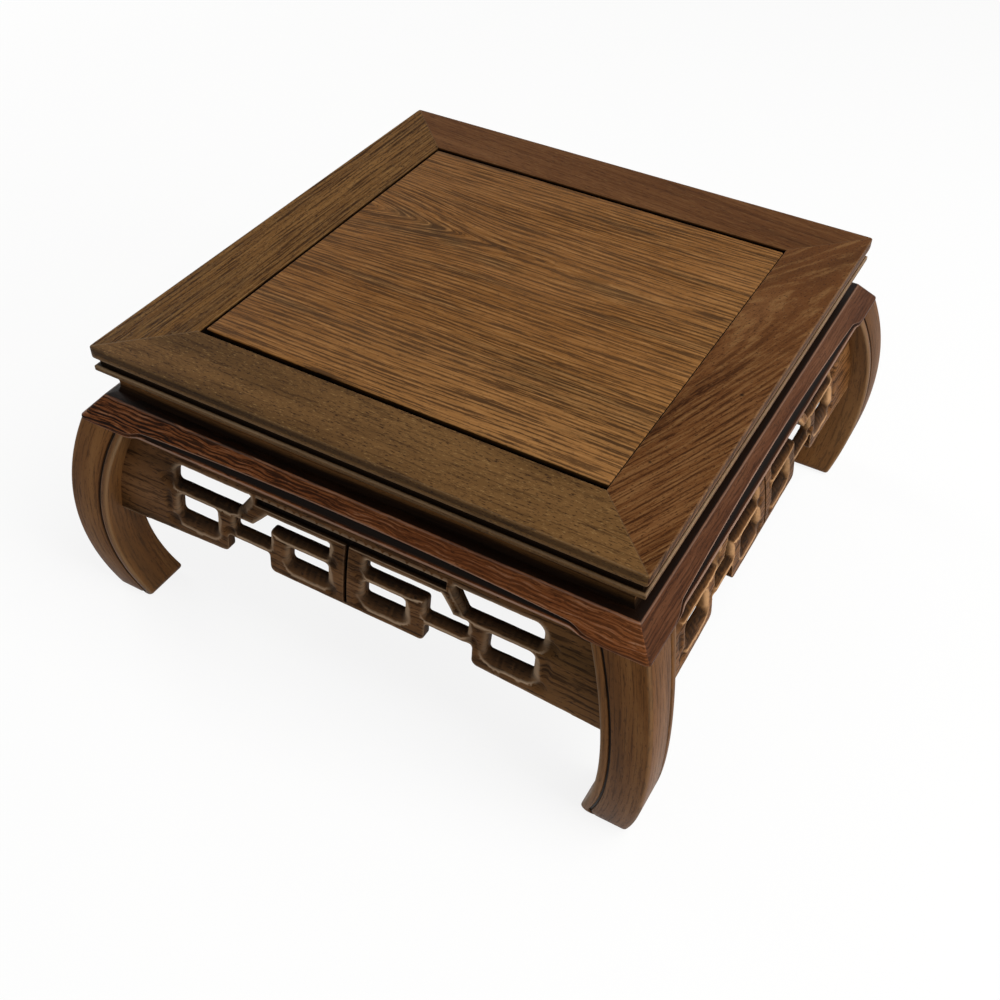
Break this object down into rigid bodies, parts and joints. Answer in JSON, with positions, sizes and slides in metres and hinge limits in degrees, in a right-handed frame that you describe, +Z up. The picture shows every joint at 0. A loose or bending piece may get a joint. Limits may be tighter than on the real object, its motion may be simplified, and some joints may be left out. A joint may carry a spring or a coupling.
{
  "type": "hardwood display stand",
  "caption": "Low square hardwood display stand with a framed panel top, recessed waist, pierced fret aprons and bowed legs with turned-in feet.",
  "frame": {"origin": "centre of the footprint, on the surface that the four feet stand on", "axes": "+Z up, -Y towards the front apron, +X to the right seen from the front"},
  "size_m": [0.2268, 0.2268, 0.1093],
  "materials": {
    "frame_wood": "waxed satin",
    "panel_wood": "waxed satin",
    "hidden_wood": "bare, planed",
    "waist_wood": "waxed satin",
    "rail_wood": "waxed satin",
    "fret_wood": "waxed, carved",
    "leg_wood": "waxed satin"
  },
  "bodies": {
    "root": {"top_frame_front": "frame_wood", "top_frame_back": "frame_wood", "top_frame_left": "frame_wood", "top_frame_right": "frame_wood", "top_panel": "panel_wood", "panel_batten": "hidden_wood", "waist_front": "waist_wood", "waist_back": "waist_wood", "waist_left": "waist_wood", "waist_right": "waist_wood", "apron_rail_front": "rail_wood", "apron_rail_back": "rail_wood", "apron_rail_left": "rail_wood", "apron_rail_right": "rail_wood", "fret_apron_front": "fret_wood", "fret_apron_back": "fret_wood", "fret_apron_left": "fret_wood", "fret_apron_right": "fret_wood", "leg_front_left": "leg_wood", "leg_front_right": "leg_wood", "leg_back_left": "leg_wood", "leg_back_right": "leg_wood"}
  },
  "joints": []
}
